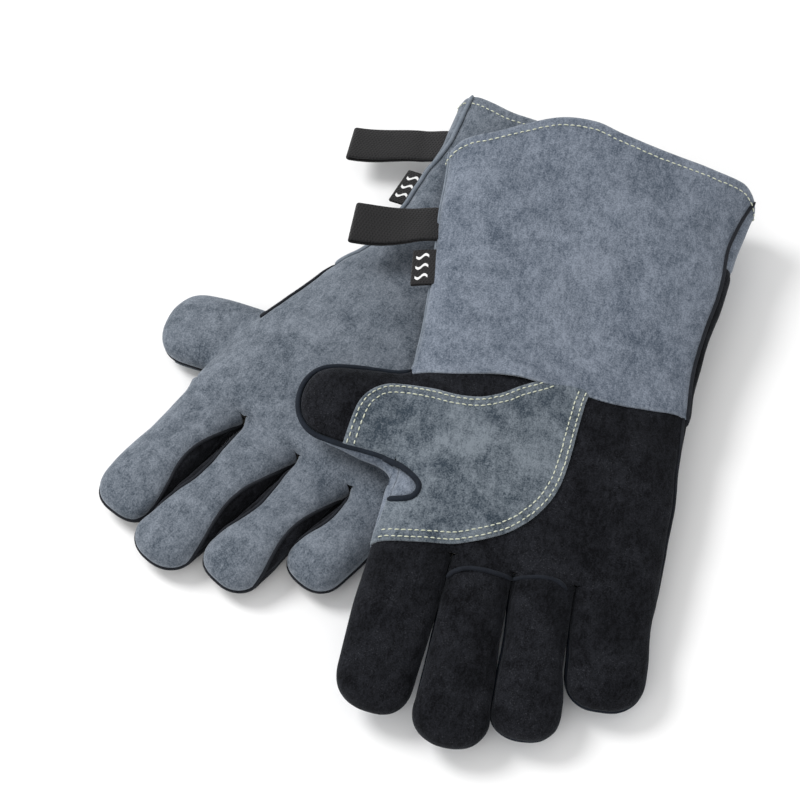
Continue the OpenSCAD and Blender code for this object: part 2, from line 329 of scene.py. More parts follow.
def whole_field(p, glove, stalls=None):
    """The outer skin of a glove."""
    fingers = None
    for name in FINGERS:
        if stalls is None or name in stalls:
            d = stall_field(p, glove["stalls"][name])
            fingers = d if fingers is None else smooth_min(fingers, d, 1.5)
    total = section_field(p, glove)
    if fingers is not None:
        total = smooth_min(total, fingers, 6)
    if stalls is None or "thumb" in stalls:
        thumb = stall_field(p, glove["stalls"]["thumb"], thin_of(glove, "thumb"))
        total = smooth_min(total, thumb, 4 if glove is LEFT else 9)
    return total


def stall_skin_field(p, glove, name):
    """The skin of one finger: the glove's skin, closed off where the finger lies against its neighbours."""
    if name == "thumb":
        return whole_field(p, glove, ("thumb",))
    at = FINGERS.index(name)
    own = stall_field(p, glove["stalls"][name])
    near = FINGERS[max(at - 1, 0):at + 2]
    total = whole_field(p, glove, near)
    for n in near:
        if n != name:
            total = smooth_max(total, (own - stall_field(p, glove["stalls"][n])) / 2 + 0.25, 2.2)
    return total


# ------------------------------------------------------------------ skins and cuts
def slope_of(field, p, h=0.35):
    """The gradient of a field, by differences over a step h."""
    g = np.empty_like(p)
    for k in range(3):
        step = np.zeros(3)
        step[k] = h
        g[:, k] = (field(p + step) - field(p - step)) / (2 * h)
    return g


class Skin:
    """A triangle mesh whose rows hold a point, its outward normal, and 1 where it is on a cut between bodies."""

    def __init__(self, rows, faces):
        self.rows, self.faces = rows, faces

    @property
    def points(self):
        return self.rows[:, :3]

    @property
    def normals(self):
        return unit(self.rows[:, 3:6])

    def kept(self, faces):
        used, faces = np.unique(faces, return_inverse=True)
        return Skin(self.rows[used], faces.reshape(-1, 3))

    def cut(self, value, join=False):
        """The parts where value is above and below zero, and the lines between them as rows."""
        value = np.where(np.abs(value) < 1e-4, 1e-4, value)
        above = value > 0
        side = above[self.faces]
        count = side.sum(1)
        mixed = self.faces[(count == 1) | (count == 2)]
        mixed_side = above[mixed]
        lone_above = mixed_side.sum(1) == 1
        lone = np.where(lone_above, mixed_side.argmax(1), (~mixed_side).argmax(1))
        turned = (lone[:, None] + np.arange(3)) % 3
        a, b, c = np.take_along_axis(mixed, turned, 1).T
        n = len(self.rows)
        pairs = np.concatenate([np.stack([np.minimum(a, q), np.maximum(a, q)], 1) for q in (b, c)])
        keys, back = np.unique(pairs[:, 0] * n + pairs[:, 1], return_inverse=True)
        low, high = keys // n, keys % n
        share = (value[low] / (value[low] - value[high]))[:, None]
        new = self.rows[low] + (self.rows[high] - self.rows[low]) * share
        if join:
            new[:, 6] = 1
        rows = np.concatenate([self.rows, new])
        ab, ac = back[:len(a)] + n, back[len(a):] + n
        lone_faces = np.stack([a, ab, ac], 1)
        rest = np.concatenate([np.stack([ab, b, c], 1), np.stack([ab, c, ac], 1)])
        rest_above = np.concatenate([~lone_above, ~lone_above])
        whole = Skin(rows, None)
        up = np.concatenate([self.faces[count == 3], lone_faces[lone_above], rest[rest_above]])
        down = np.concatenate([self.faces[count == 0], lone_faces[~lone_above], rest[~rest_above]])
        return whole.kept(up), whole.kept(down), [rows[line] for line in chained(np.stack([ab, ac], 1))]


def chained(segments):
    """Segments joined end to end into ordered lines of indices."""
    near = {}
    for a, b in segments.tolist():
        near.setdefault(a, []).append(b)
        near.setdefault(b, []).append(a)
    lines = []
    starts = [k for k in near if len(near[k]) == 1] + list(near)
    used = set()
    for start in starts:
        if start in used:
            continue
        line = [start]
        used.add(start)
        while True:
            onward = [k for k in near[line[-1]] if k not in used]
            if not onward:
                break
            line.append(onward[0])
            used.add(onward[0])
        if len(line) > 2 and len(near[start]) == 2 and start in near[line[-1]]:
            line.append(start)
        if len(line) > 3:
            lines.append(line)
    return lines


def edges_of(faces):
    return np.concatenate([faces[:, [0, 1]], faces[:, [1, 2]], faces[:, [2, 0]]])


def skin_of(field, low, high, step, settle=2):
    """The zero surface of a field in a box, by surface nets, evened out and pulled back onto the field."""
    axes = [np.arange(a, b + step, step) for a, b in zip(low, high)]
    grid = np.stack(np.meshgrid(*axes, indexing="ij"), -1)
    f = field(grid.reshape(-1, 3)).reshape(grid.shape[:3])
    inside = f < 0
    corners = [(i, j, k) for i in (0, 1) for j in (0, 1) for k in (0, 1)]
    size = np.array(f.shape) - 1
    window = [tuple(slice(o, o + s) for o, s in zip(c, size)) for c in corners]
    total = sum(inside[w].astype(np.int8) for w in window)
    cells = np.argwhere((total > 0) & (total < 8))
    number = np.full(size, -1)
    number[tuple(cells.T)] = np.arange(len(cells))
    place = np.zeros((len(cells), 3))
    hits = np.zeros(len(cells))
    for ca in corners:
        for axis in range(3):
            if ca[axis]:
                continue
            cb = tuple(1 if k == axis else ca[k] for k in range(3))
            fa, fb = f[tuple((cells + ca).T)], f[tuple((cells + cb).T)]
            crossing = (fa < 0) != (fb < 0)
            share = np.where(crossing, fa / np.where(fa == fb, 1, fa - fb), 0)
            spot = np.array(ca, float) + share[:, None] * (np.array(cb) - ca)
            place += spot * crossing[:, None]
            hits += crossing
    points = (cells + place / hits[:, None]) * step + np.array(low)
    quads = []
    for axis in range(3):
        e1, e2 = (axis + 1) % 3, (axis + 2) % 3
        here = [slice(None)] * 3
        there = [slice(None)] * 3
        here[axis], there[axis] = slice(0, -1), slice(1, None)
        crossing = np.argwhere(inside[tuple(here)] != inside[tuple(there)])
        ok = ((crossing[:, e1] > 0) & (crossing[:, e1] < f.shape[e1] - 1)
              & (crossing[:, e2] > 0) & (crossing[:, e2] < f.shape[e2] - 1))
        crossing = crossing[ok]
        outward = inside[tuple(crossing.T)]
        ring = []
        for s1, s2 in ((1, 1), (0, 1), (0, 0), (1, 0)):
            cell = crossing.copy()
            cell[:, e1] -= s1
            cell[:, e2] -= s2
            ring.append(number[tuple(cell.T)])
        quad = np.stack(ring, 1)
        quads.append(np.where(outward[:, None], quad, quad[:, ::-1]))
    quad = np.concatenate(quads)
    one = np.linalg.norm(points[quad[:, 0]] - points[quad[:, 2]], axis=1)
    two = np.linalg.norm(points[quad[:, 1]] - points[quad[:, 3]], axis=1)
    short = (one <= two)[:, None]
    faces = np.concatenate([np.where(short, quad[:, [0, 1, 2]], quad[:, [0, 1, 3]]),
                            np.where(short, quad[:, [0, 2, 3]], quad[:, [1, 2, 3]])])
    edges = edges_of(faces)
    degree = np.bincount(edges.ravel(), minlength=len(points))[:, None]
    for round_ in range(settle + 1):
        if round_:
            around = np.zeros_like(points)
            for k in range(3):
                around[:, k] = (np.bincount(edges[:, 0], points[edges[:, 1], k], len(points))
                                + np.bincount(edges[:, 1], points[edges[:, 0], k], len(points)))
            points = 0.4 * points + 0.6 * around / degree
        g = slope_of(field, points)
        points = points - g * (np.clip(field(points), -2, 2) / np.maximum((g * g).sum(1), 0.05))[:, None]
    return Skin(np.column_stack([points, unit(slope_of(field, points)), np.zeros(len(points))]), faces)


# ------------------------------------------------------------------ from skins to pieces
def mesh_object(name, points, faces, attributes=None):
    """A mesh from points in metres. Faces may be triangles or quads, all of one kind."""
    mesh = bpy.data.meshes.new(name)
    faces = np.asarray(faces)
    n, sides = faces.shape
    mesh.vertices.add(len(points))
    mesh.vertices.foreach_set("co", np.asarray(points, np.float32).ravel())
    mesh.loops.add(n * sides)
    mesh.loops.foreach_set("vertex_index", faces.astype(np.int32).ravel())
    mesh.polygons.add(n)
    mesh.polygons.foreach_set("loop_start", np.arange(0, n * sides, sides, dtype=np.int32))
    mesh.update(calc_edges=True)
    mesh.validate()
    mesh.polygons.foreach_set("use_smooth", np.full(len(mesh.polygons), True))
    for key, value in (attributes or {}).items():
        kind = "FLOAT" if value.ndim == 1 else "FLOAT_VECTOR"
        slot = "value" if value.ndim == 1 else "vector"
        mesh.attributes.new(key, kind, "POINT").data.foreach_set(slot, value.astype(np.float32).ravel())
    obj = bpy.data.objects.new(name, mesh)
    bpy.context.scene.collection.objects.link(obj)
    return obj


def open_edges(faces):
    """Directed edges that only one face has."""
    edges = edges_of(faces)
    n = faces.max() + 1
    key, other = edges[:, 0] * n + edges[:, 1], edges[:, 1] * n + edges[:, 0]
    return edges[~np.isin(key, other)]


def bent(glove, part, p):
    """The droop of a stall below its glove's plane, growing smoothly from its base."""
    stall = glove["stalls"].get(part)
    if not stall or not stall.droop:
        return p
    slope = math.tan(math.radians(stall.droop))
    y = stall_frame(p, stall)[1]
    out = p.copy()
    ramp = np.clip(y / BEND_RUN, 0, 1)
    drop = np.where(y < BEND_RUN, BEND_RUN / 2 * ramp ** 3 * (2 - ramp), y - BEND_RUN / 2)
    out[:, 2] -= slope * drop
    return out


def body_setup(obj, glove, part):
    """Parents the hand's pieces, and the left glove's cuff pieces, to an empty for their glove; any other piece
    only has its placement baked into its mesh.
    """
    side = glove["name"]
    if part is None:
        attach(obj, side + "_glove")
        return
    if part == "cuff":
        if glove is LEFT:
            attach(obj, "left_glove")
        else:
            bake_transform(obj)
        return
    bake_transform(obj)


def rumpled(skin, glove):
    """Pushes a skin in and out along its normals: broad dents and small creases."""
    p = skin.points
    seed = 3 if glove is LEFT else 11
    move = 0.55 * wave_noise(p, 46, seed) + 0.20 * wave_noise(p, 17, seed + 1)
    if glove is RIGHT:
        move += 1.1 * wave_noise(p, 75, 40) * smoothstep(p[:, 1], 10, 60)
    rows = skin.rows.copy()
    rows[:, :3] = p + skin.normals * move[:, None]
    return Skin(rows, skin.faces)


def edge_distance(skin):
    """Distance from each point to the nearest open edge, leaving out cuts between bodies."""
    at = np.unique(open_edges(skin.faces))
    at = at[skin.rows[at, 6] < AT_JOIN]
    out = np.full(len(skin.rows), FAR_FROM_EDGE)
    if len(at):
        tree = KDTree(len(at))
        for i, q in enumerate(skin.points[at]):
            tree.insert(q, i)
        tree.balance()
        out = np.array([tree.find(q)[2] for q in skin.points])
    return np.minimum(out, FAR_FROM_EDGE)


def placed(name, glove, part, points, faces, edge, material, nodes=()):
    """A piece from points in its glove's frame, drooped with its stall, placed in the world and passed to
    body_setup.
    """
    world = on_floor(glove, bent(glove, part, points))
    shape = mesh_object(name, world, faces, {"rest": points * MM, "edge": edge})
    shape.data.materials.append(material)
    if nodes:
        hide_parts(*nodes)
    body_setup(shape, glove, part)
    return shape


def panel(name, glove, part, skin, material, nodes=(), lift=0.0, depth=1.3, pull=0.8, spread=2.4):
    """A leather panel from a piece of skin, sunk at its seams, with a real thickness."""
    if len(skin.faces) < 4:
        raise ValueError(name + " is empty")
    edge = edge_distance(skin)
    n = skin.normals
    top = skin.points + n * (lift - pull * np.exp(-(edge / spread) ** 2))[:, None]
    under = top - n * depth
    rim = open_edges(skin.faces)
    at_join = (skin.rows[rim, 6] > AT_JOIN).all(1)
    count = len(top)
    faces = [skin.faces, skin.faces[:, ::-1] + count]
    a, b = rim[~at_join].T
    faces += [np.stack([b, a, a + count], 1), np.stack([b, a + count, b + count], 1)]
    # The rim at a join has points of its own, so that the shading runs on from body to body
    c, d = rim[at_join].T
    corners = np.concatenate([c, d, d + count, c + count])
    p, q, r, t = np.arange(len(corners)).reshape(4, -1) + 2 * count
    faces += [np.stack([q, p, t], 1), np.stack([q, t, r], 1)]
    both, edge = np.concatenate([top, under]), np.concatenate([edge, edge])
    both, edge = np.concatenate([both, both[corners]]), np.concatenate([edge, edge[corners]])
    return placed(name, glove, part, both, np.concatenate(faces), edge, material, nodes)


def evened(line, step, smooth=2):
    """Rows of a line at an even spacing, slightly smoothed."""
    rows = line.copy()
    for _ in range(smooth):
        middle = (rows[:-2] + 2 * rows[1:-1] + rows[2:]) / 4
        rows = np.concatenate([rows[:1], middle, rows[-1:]])
    run = np.concatenate([[0], np.cumsum(np.linalg.norm(np.diff(rows[:, :3], axis=0), axis=1))])
    count = max(int(run[-1] / step), 2)
    at = np.linspace(0, run[-1], count + 1)
    return np.column_stack([np.interp(at, run, rows[:, k]) for k in range(rows.shape[1])])


def runs(line, keep):
    """The unbroken parts of a line where keep holds."""
    parts = np.split(np.arange(len(line)), np.flatnonzero(np.diff(keep.astype(int))) + 1)
    return [line[part] for part in parts if keep[part[0]]]


def swept(count, around):
    """Corners of the quads between each ring of points and the next, ring by ring."""
    i = np.arange(count - 1)[:, None] * around
    j = np.arange(around)[None]
    k = (j + 1) % around
    return i + j, i + k, i + around + k, i + around + j


def tube(rows, radius, sides=8):
    """Points and faces of a cord that follows a line, thinner at its two ends."""
    p, n = rows[:, :3], rows[:, 3:6]
    tangent = unit(np.gradient(p, axis=0))
    n = unit(n - tangent * (n * tangent).sum(1)[:, None])
    b = np.cross(tangent, n)
    run = np.minimum(np.arange(len(p)), np.arange(len(p))[::-1])
    size = radius * np.sqrt(np.clip((run + 0.35) / 1.6, 0, 1))
    angle = np.linspace(0, 2 * math.pi, sides, endpoint=False)
    ring = (p[:, None] + size[:, None, None] * (np.sin(angle)[None, :, None] * n[:, None]
                                                + np.cos(angle)[None, :, None] * b[:, None]))
    points = ring.reshape(-1, 3)
    near, near_next, far_next, far = swept(len(p), sides)
    quads = np.stack([near, far, far_next, near_next], -1).reshape(-1, 4)
    ends, last, spoke = len(points), (len(p) - 1) * sides, np.arange(sides)
    onward = (spoke + 1) % sides
    points = np.concatenate([points, p[:1], p[-1:]])
    tris = np.concatenate([quads[:, [0, 1, 2]], quads[:, [0, 2, 3]],
                           np.stack([np.full(sides, ends), spoke, onward], 1),
                           np.stack([np.full(sides, ends + 1), last + onward, last + spoke], 1)])
    return points, tris


def joined(parts):
    """Several (points, faces) as one."""
    points, faces, count = [], [], 0
    for p, f in parts:
        points.append(p)
        faces.append(f + count)
        count += len(p)
    return np.concatenate(points), np.concatenate(faces)


def cords(name, glove, part, lines, radius, material, lift=0.0, step=1.8):
    """Welts: cords sewn into seams, along lines of rows."""
    parts = []
    for line in lines:
        if len(line) < 5:
            continue
        rows = evened(line, step)
        rows[:, :3] += rows[:, 3:6] * lift
        parts.append(tube(rows, radius))
    points, faces = joined(parts)
    placed(name, glove, part, points, faces, np.full(len(points), FAR_FROM_EDGE), material)


def stitches(name, glove, part, lines, lift, seed, pitch=3.2, keep=None):
    """Short threads, one after another along lines of rows."""
    length, radius = 2.3, 0.36
    rng = np.random.default_rng(seed)
    parts = []
    for line in lines:
        if len(line) < 5:
            continue
        rows = evened(line, pitch, smooth=3)
        if len(rows) < 3:
            continue
        tangent = np.gradient(rows[:, :3], axis=0)
        for row, t in zip(rows, tangent):
            jitter = rng.normal(size=4)
            if keep is not None and not keep(row):
                continue
            n = row[3:6] / max(np.linalg.norm(row[3:6]), 1e-9)
            t = t / max(np.linalg.norm(t), 1e-9)
            t = t - n * (t @ n)
            side = np.cross(n, t)
            t = t + side * 0.05 * jitter[0]
            half = length / 2 * (1 + 0.08 * jitter[1])
            centre = row[:3] + n * lift + side * 0.08 * jitter[2]
            x = np.array([-1, -0.6, 0, 0.6, 1])
            spots = centre + np.outer(x * half, t) + np.outer(radius * (0.75 - x ** 2), n)
            small = np.column_stack([spots, np.tile(n, (5, 1))])
            parts.append(tube(small, radius, sides=6))
    points, faces = joined(parts)
    placed(name, glove, part, points, faces, np.full(len(points), FAR_FROM_EDGE), THREAD)


# ------------------------------------------------------------------ materials
class Nodes:
    """A material's node tree, with its Principled shader."""

    def __init__(self, name, roughness, sheen=0.0, sheen_roughness=0.5, specular=0.3, sheen_tint=(1, 1, 1)):
        self.material = bpy.data.materials.new(name)
        self.material.use_nodes = True
        self.tree = self.material.node_tree
        self.shader = self.tree.nodes["Principled BSDF"]
        self.fill(self.shader, {"Roughness": roughness, "Sheen Weight": sheen, "Sheen Roughness": sheen_roughness,
                                "Sheen Tint": (*sheen_tint, 1), "Specular IOR Level": specular})

    def add(self, kind, values=None, **sets):
        """A new node, with its inputs' values and its own settings."""
        node = self.tree.nodes.new("ShaderNode" + kind)
        for key, value in sets.items():
            setattr(node, key, value)
        return self.fill(node, values or {})

    def fill(self, node, values):
        for key, value in values.items():
            self.put(node.inputs[key], value)
        return node

    def put(self, socket, value):
        if isinstance(value, bpy.types.NodeSocket):
            self.tree.links.new(value, socket)
        else:
            socket.default_value = value

    def rest(self, scale=(1, 1, 1), angle=0.0):
        at = self.add("Attribute", attribute_name="rest").outputs["Vector"]
        if scale == (1, 1, 1) and not angle:
            return at
        turned = (0, 0, math.radians(angle))
        return self.add("Mapping", {"Vector": at, "Scale": scale, "Rotation": turned}).outputs["Vector"]

    def noise(self, size, detail=3.0, rough=0.55, vector=None, distortion=0.0):
        """Noise with features of a size in millimetres."""
        return self.add("TexNoise", {"Vector": vector or self.rest(), "Scale": 1 / (size * MM), "Detail": detail,
                                     "Roughness": rough, "Distortion": distortion}).outputs["Fac"]

    def bands(self, size, angle, distortion=0.0):
        """Bands of a size in millimetres."""
        values = {"Vector": self.rest(angle=angle), "Scale": 2 * math.pi / (20 * size * MM),
                  "Distortion": distortion}
        return self.add("TexWave", values, wave_type="BANDS", bands_direction="X").outputs["Fac"]

    def math(self, operation, a, b=0.0, c=0.0, clamp=False):
        node = self.add("Math", operation=operation, use_clamp=clamp)
        for socket, value in zip(node.inputs, (a, b, c)):
            self.put(socket, value)
        return node.outputs[0]

    def total(self, parts, offset=0.0, clamp=True):
        """Sum of (value, weight), each value taken about its middle, plus an offset."""
        out = offset
        for n, (value, weight) in enumerate(parts):
            middle = self.math("SUBTRACT", value, 0.5)
            out = self.math("MULTIPLY_ADD", middle, weight, out, clamp=clamp and n == len(parts) - 1)
        return out

    def range(self, value, low, high, start=0.0, end=1.0):
        values = {"Value": value, "From Min": low, "From Max": high, "To Min": start, "To Max": end}
        return self.add("MapRange", values, interpolation_type="SMOOTHSTEP").outputs["Result"]

    def mix(self, share, a, b):
        node = self.add("Mix", data_type="RGBA")
        for socket, value in ((node.inputs[0], share), (node.inputs[6], a), (node.inputs[7], b)):
            self.put(socket, (*value, 1) if isinstance(value, tuple) else value)
        return node.outputs[2]

    def edge(self):
        return self.add("Attribute", attribute_name="edge").outputs["Fac"]

    def finish(self, colour, height, depth):
        """The material, with its colour and a relief of a depth in millimetres."""
        bump = self.add("Bump", {"Strength": 1.0, "Distance": depth * MM, "Height": height})
        self.fill(self.shader, {"Base Color": colour, "Normal": bump.outputs["Normal"]})
        return self.material


def suede(name, dark, light, edge_wear_and_highlight_colour, contrast=1.0, sheen=0.35, edge_wear_and_highlight_share=0.30):
    """Split leather: drifting marks in the pile, short fibres, fine speckle, and edges paler partly from wear and
    partly as a painted highlight.
    """
    m = Nodes(name, roughness=0.93, sheen=sheen, sheen_roughness=0.45, specular=0.12, sheen_tint=(0.85, 0.92, 1.0))
    drift = m.noise(24, 3, 0.6, distortion=0.8)
    patches = m.noise(7, 4, 0.62, distortion=0.5)
    fibres = m.noise(2.0, 3, 0.65, m.rest((1, 0.45, 1), 28))
    speckle = m.noise(0.85, 2, 0.7)
    tone = m.total([(drift, 1.15 * contrast), (patches, 0.9 * contrast ** 0.4), (fibres, 1.1), (speckle, 1.9)], 0.5)
    colour = m.mix(tone, dark, light)
    # Paler within about 1.8 mm of a panel's edges: partly worn edges, partly a painted highlight on the raised
    # edge.
    edge_wear_and_highlight_mask = m.math("MULTIPLY", m.range(m.edge(), 0.2, 1.8, 1.0, 0.0), m.range(fibres, 0.3, 0.6))
    colour = m.mix(m.math("MULTIPLY", edge_wear_and_highlight_mask, edge_wear_and_highlight_share), colour, edge_wear_and_highlight_colour)
    height = m.total([(patches, 0.7), (fibres, 0.8), (speckle, 0.9)], 0.5, clamp=False)
    return m.finish(colour, height, 0.32)


def black_suede_material():
    m = Nodes("black_suede", roughness=0.92, sheen=0.07, sheen_roughness=0.35, specular=0.08,
              sheen_tint=(0.8, 0.88, 1.0))
    drift = m.noise(26, 3, 0.6, distortion=0.6)
    fibres = m.noise(2.0, 3, 0.65, m.rest((1, 0.5, 1), -20))
    speckle = m.noise(0.8, 2, 0.75)
    tone = m.total([(drift, 1.5), (m.noise(7, 3), 0.8), (fibres, 1.5), (speckle, 2.0)], 0.42)
    colour = m.mix(tone, (0.0022, 0.0024, 0.0032), (0.0155, 0.0165, 0.0205))
    lint = m.math("MULTIPLY", m.range(m.noise(0.7, 1, 0.5), 0.62, 0.70), m.range(drift, 0.4, 0.65))
    colour = m.mix(m.math("MULTIPLY", lint, 0.45), colour, (0.055, 0.058, 0.066))
    # Paler within 1.4 mm of a panel's edges: partly worn edges, partly a painted highlight on the raised edge.
    colour = m.mix(m.range(m.edge(), 0.0, 1.4, 0.30, 0.0), colour, (0.018, 0.021, 0.029))
    height = m.total([(fibres, 1.1), (speckle, 1.0), (m.noise(9, 3), 0.6)], 0.5, clamp=False)
    return m.finish(colour, height, 0.4)


def welt_material(name, colour_a, colour_b):
    m = Nodes(name, roughness=0.8, sheen=0.04, specular=0.15, sheen_tint=(0.8, 0.9, 1.0))
    speckle = m.noise(0.9, 2, 0.7)
    colour = m.mix(m.total([(m.noise(5, 2), 1.0), (speckle, 1.2)], 0.5), colour_a, colour_b)
    return m.finish(colour, speckle, 0.2)


def cotton_material():
    m = Nodes("cotton_lining", roughness=0.95, sheen=0.2, specular=0.1)
    weave = m.math("MULTIPLY", m.bands(0.9, 0, 0.4), m.bands(0.9, 90, 0.4))
    tuft = m.noise(3.5, 3, 0.6)
    tone = m.total([(tuft, 1.0), (weave, 0.5), (m.noise(20, 2), 0.8)], 0.55)
    colour = m.mix(tone, (0.40, 0.39, 0.36), (0.66, 0.65, 0.61))
    height = m.total([(weave, 0.8), (tuft, 1.2)], 0.5, clamp=False)
    return m.finish(colour, height, 0.35)


def webbing_material():
    m = Nodes("black_webbing", roughness=0.72, sheen=0.12, specular=0.25)
    twill = m.math("MAXIMUM", m.bands(1.5, 32, 0.15), m.bands(1.5, -32, 0.15))
    weft = m.bands(0.8, 0, 0.3)
    fuzz = m.noise(0.6, 2, 0.7)
    tone = m.total([(twill, 0.9), (weft, 0.4), (fuzz, 0.8)], 0.4)
    colour = m.mix(tone, (0.0030, 0.0030, 0.0035), (0.0115, 0.0110, 0.0118))
    height = m.total([(twill, 1.0), (weft, 0.5), (fuzz, 0.5)], 0.5, clamp=False)
    return m.finish(colour, height, 0.3)


def thread_material():
    m = Nodes("thread", roughness=0.65, sheen=0.2, specular=0.3)
    twist = m.bands(0.5, 40, 0.2)
    colour = m.mix(m.total([(m.noise(4, 2), 0.9), (twist, 0.4)], 0.55), (0.40, 0.43, 0.33), (0.70, 0.72, 0.58))
    return m.finish(colour, twist, 0.1)


def print_material():
    m = Nodes("label_print", roughness=0.7, specular=0.3)
    weft = m.bands(0.5, 0, 0.2)
    colour = m.mix(m.total([(weft, 0.4), (m.noise(1, 2), 0.5)], 0.6), (0.62, 0.62, 0.62), (0.86, 0.86, 0.86))
    return m.finish(colour, weft, 0.1)


# The third colour of each suede is its edges' colour: partly wear, partly a painted highlight.
GREY = suede("grey_suede", (0.052, 0.068, 0.093), (0.208, 0.236, 0.285), (0.28, 0.31, 0.35))
PATCH_GREY = suede("patch_suede", (0.026, 0.038, 0.052), (0.170, 0.196, 0.224), (0.25, 0.28, 0.30), contrast=1.7)
LEFT_GREY = suede("grey_suede_left", (0.043, 0.056, 0.073), (0.183, 0.206, 0.240), (0.27, 0.30, 0.33),
                  contrast=1.12)
BLACK = black_suede_material()
NAVY_WELT = welt_material("welt_navy", (0.004, 0.006, 0.010), (0.012, 0.017, 0.026))
BLACK_WELT = welt_material("welt_black", (0.006, 0.007, 0.009), (0.018, 0.020, 0.026))
ROOT_WELT = welt_material("welt_root", (0.004, 0.005, 0.008), (0.014, 0.017, 0.024))
GREY_WELT = welt_material("welt_grey", (0.10, 0.125, 0.155), (0.21, 0.235, 0.27))
COTTON = cotton_material()
WEBBING = webbing_material()
THREAD = thread_material()
PRINT = print_material()


# ------------------------------------------------------------------ cutting lines
def finger_line(p):
    """Positive on the fingers' side of the line where they leave the hand."""
    return curve_at(p[:, 0], [(-90, -105), (-58, -104), (-42, -101.5), (28, -101), (42, -98.5), (60, -95),
                              (90, -94)]) - p[:, 1]


def thumb_line(glove, p):
    """Positive on the thumb's side of its base."""
    x, y = stall_frame(p, glove["joints"]["thumb"])
    return np.minimum(y, 36 - np.abs(x))


def mouth_line(glove, p):
    return curve_at(p[:, 0], glove["mouth"]) - p[:, 1]


def wrist_line(glove, p):
    """Positive on the cuff's side."""
    return p[:, 1] - curve_at(p[:, 0], glove["wrist"])


# Seam angles about the middle of a finger's height: (thumb-side gap, little-side gap, tip and outer side)
STALL_SEAMS = {
    "left": {"index": (0, 52, -6), "middle": (52, 50, -6), "ring": (50, 50, -6), "little": (52, 0, -6)},
    "right": {"index": (0, 14, -34), "middle": (14, 14, -34), "ring": (14, 14, -24), "little": (14, 0, -15)},
}


def stall_seams(glove, name, p):
    """How far each point is above the upper seam and the lower seam of a stall, in degrees."""
    stall = glove["stalls"][name]
    x, beyond, z, a, b, tip, y = stall_shares(p, stall, thin_of(glove, name))
    angle = np.degrees(np.arctan2(z, np.hypot(x, beyond)))
    if name == "thumb":
        level = -20.0
        if glove is RIGHT:
            level = 8 + 23 * smoothstep(x, 0, 0.6) * (1 - smoothstep(y, 25, 72))
        return angle - level, None
    low, high, outer = STALL_SEAMS[glove["name"]][name]
    along = np.clip((y - 4) / (stall.length * 0.86 - 4), 0, 1)
    swell = np.sin(math.pi * along) ** 0.7
    gap = swell * (low + (high - low) * smoothstep(x, -0.35, 0.35))
    open_side = swell * ((low > 0) + (float(high > 0) - (low > 0)) * smoothstep(x, -0.35, 0.35))
    upper = outer + gap * (1 - outer / 60)
    lower = upper + 1 - open_side * (gap + 18)
    return angle - upper, angle - lower


HAND_SEAMS = {
    "left": ([(-112, -8), (-84, -16), (-64, -12), (-46, 18), (-30, 22), (-14, 18), (2, 10), (30, 16), (70, 24),
              (150, 28)],
             [(-112, -6), (150, 4)], [(-112, -12), (-80, -20), (150, -24)]),
    "right": ([(-112, -6), (-100, 14), (-80, 20), (-60, 20), (-30, 6), (150, 4)],
              [(-112, -22), (-92, -6), (-60, 4), (-20, 16), (20, 24), (80, 26), (120, 22), (150, 12)],
              [(-112, -44), (-80, -38), (150, -30)]),
}


def section_seams(glove, p):
    x, z, _, _ = section_shares(p, glove)
    angle = np.degrees(np.arctan2(z, np.abs(x)))
    thumb, little, low = HAND_SEAMS[glove["name"]]
    share = smoothstep(x, -0.2, 0.2)
    upper = curve_at(p[:, 1], thumb) * (1 - share) + curve_at(p[:, 1], little) * share
    lower = curve_at(p[:, 1], low)
    if glove is RIGHT:
        lower = lower + (upper + 2 - lower) * (1 - share) * (p[:, 1] < -20)
        return angle - upper, angle - lower
    across = np.abs(stall_shares(p, glove["stalls"]["thumb"], thin_of(glove, "thumb"))[0])
    beyond = smoothstep(-x, 1.0, 1.05) * (1 - smoothstep(across, 1.05, 1.3))
    thumb_angle = stall_seams(glove, "thumb", p)[0]
    return (angle - upper) * (1 - beyond) + thumb_angle * beyond, angle - lower


# The palm reinforcement, whose lower thumb-side corner leaves out the crotch of the thumb
PATCH = rounded_line([(-100, -75), (-99, -56), (-98, -42), (-96.5, -33.5), (-93.5, -27), (-88.5, -21.5),
                      (-82, -18), (-73, -16.5), (-61, -16.7), (-50, -17.5), (-37.5, -16), (-27.5, -11),
                      (-18.5, -4), (-6.5, 4), (0, 9), (17, 9), (16.5, -5), (15.5, -20), (14.5, -40), (11.5, -58),
                      (3.5, -73), (-7, -84), (-18.5, -91), (-30.5, -96), (-45, -99.5), (-60, -102.5), (-71, -104),
                      (-86, -105)], closed=True, steps=5)
CROTCH_WELT = rounded_line([(-77.6, -57.4), (-73, -58.9), (-67.5, -61.4), (-61, -66), (-56.4, -71.4),
                            (-57.8, -77.2), (-62.8, -79.8), (-69.5, -80.4)], steps=6)
CROTCH = np.concatenate([CROTCH_WELT, [(-84, -81), (-84, -58.5)]])


def on_top(glove, plan):
    """Rows of points on a glove's upper skin above plan points."""
    low = np.column_stack([plan, np.full(len(plan), 15.0)])
    high = low + [0, 0, 45]
    for _ in range(22):
        middle = (low + high) / 2
        inside = (whole_field(middle, glove) < 0)[:, None]
        low, high = np.where(inside, middle, low), np.where(inside, high, middle)
    n = unit(slope_of(lambda q: whole_field(q, glove), low))
    return np.column_stack([low, n, np.zeros(len(low))])


# ------------------------------------------------------------------ the pieces
HAND_STEP, STALL_STEP, LINING_STEP = 2.0, 1.6, 3.2


